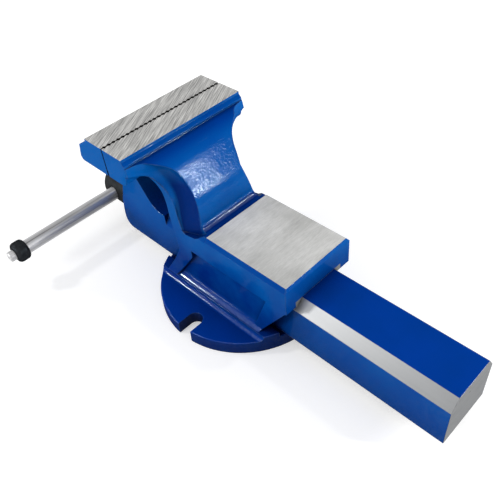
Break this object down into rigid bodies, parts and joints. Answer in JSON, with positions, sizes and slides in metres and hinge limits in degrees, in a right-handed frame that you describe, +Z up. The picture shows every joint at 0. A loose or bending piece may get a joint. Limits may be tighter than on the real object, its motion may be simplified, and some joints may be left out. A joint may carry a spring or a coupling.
{
  "type": "bench vise",
  "caption": "Bolt-down bench vise: round slotted base flange, jaws with serrated plates, ground anvil, hollow slide bar, lead screw and a sliding cross handle.",
  "frame": {"origin": "centre of the round base flange, on its underside, where the vise meets the bench", "axes": "+X along the slide bar towards its closed rear end, +Y along the jaws, +Z up"},
  "size_m": [0.478, 0.29, 0.1805],
  "materials": {
    "blue_enamel": "glossy deep-blue enamel over an orange-peel casting, with ground steel on the jaw lands, anvil pad and bar bevels",
    "jaw_steel": "ground satin",
    "black_steel": "black oxide, satin",
    "raw_iron": "machined cast iron, matte",
    "turned_steel": "turned, satin",
    "spring_steel": "oil tempered",
    "black_head": "black satin",
    "polished_steel": "polished plating",
    "black_rubber": "matte"
  },
  "bodies": {
    "body": {"fixed_body": "blue_enamel", "fixed_jaw_plate": "jaw_steel", "fixed_plate_screws": "black_steel", "nut_block": "raw_iron", "nut_screws": "black_steel"},
    "slide": {"sliding_jaw": "blue_enamel", "sliding_jaw_plate": "jaw_steel", "sliding_plate_screws": "black_steel", "thrust_washer": "turned_steel", "spindle_spring": "spring_steel", "spring_seat": "turned_steel"},
    "spindle": {"lead_screw": "turned_steel", "spindle_head": "black_head", "head_pin": "turned_steel", "retaining_collar": "turned_steel", "collar_pin": "turned_steel"},
    "handle": {"handle_bar": "polished_steel", "near_handle_ring": "black_rubber", "far_handle_ring": "black_rubber"}
  },
  "joints": [
    {"name": "jaw_slide", "type": "slide", "parent": "body", "child": "slide", "axis": [-1, 0, 0], "range_m": [-0.0015, 0.17]},
    {"name": "screw_turn", "type": "hinge", "parent": "slide", "child": "spindle", "pos_m": [-0.17, 0, 0.045], "axis": [-1, 0, 0], "range_deg": [-110, 12242]},
    {"name": "handle_slide", "type": "slide", "parent": "spindle", "child": "handle", "axis": [0, 1, 0], "range_m": [-0.0745, 0.1205]}
  ],
  "couplings": [
    {"joint": "screw_turn", "follows": "jaw_slide", "rad_per_m": 1256.6}
  ]
}
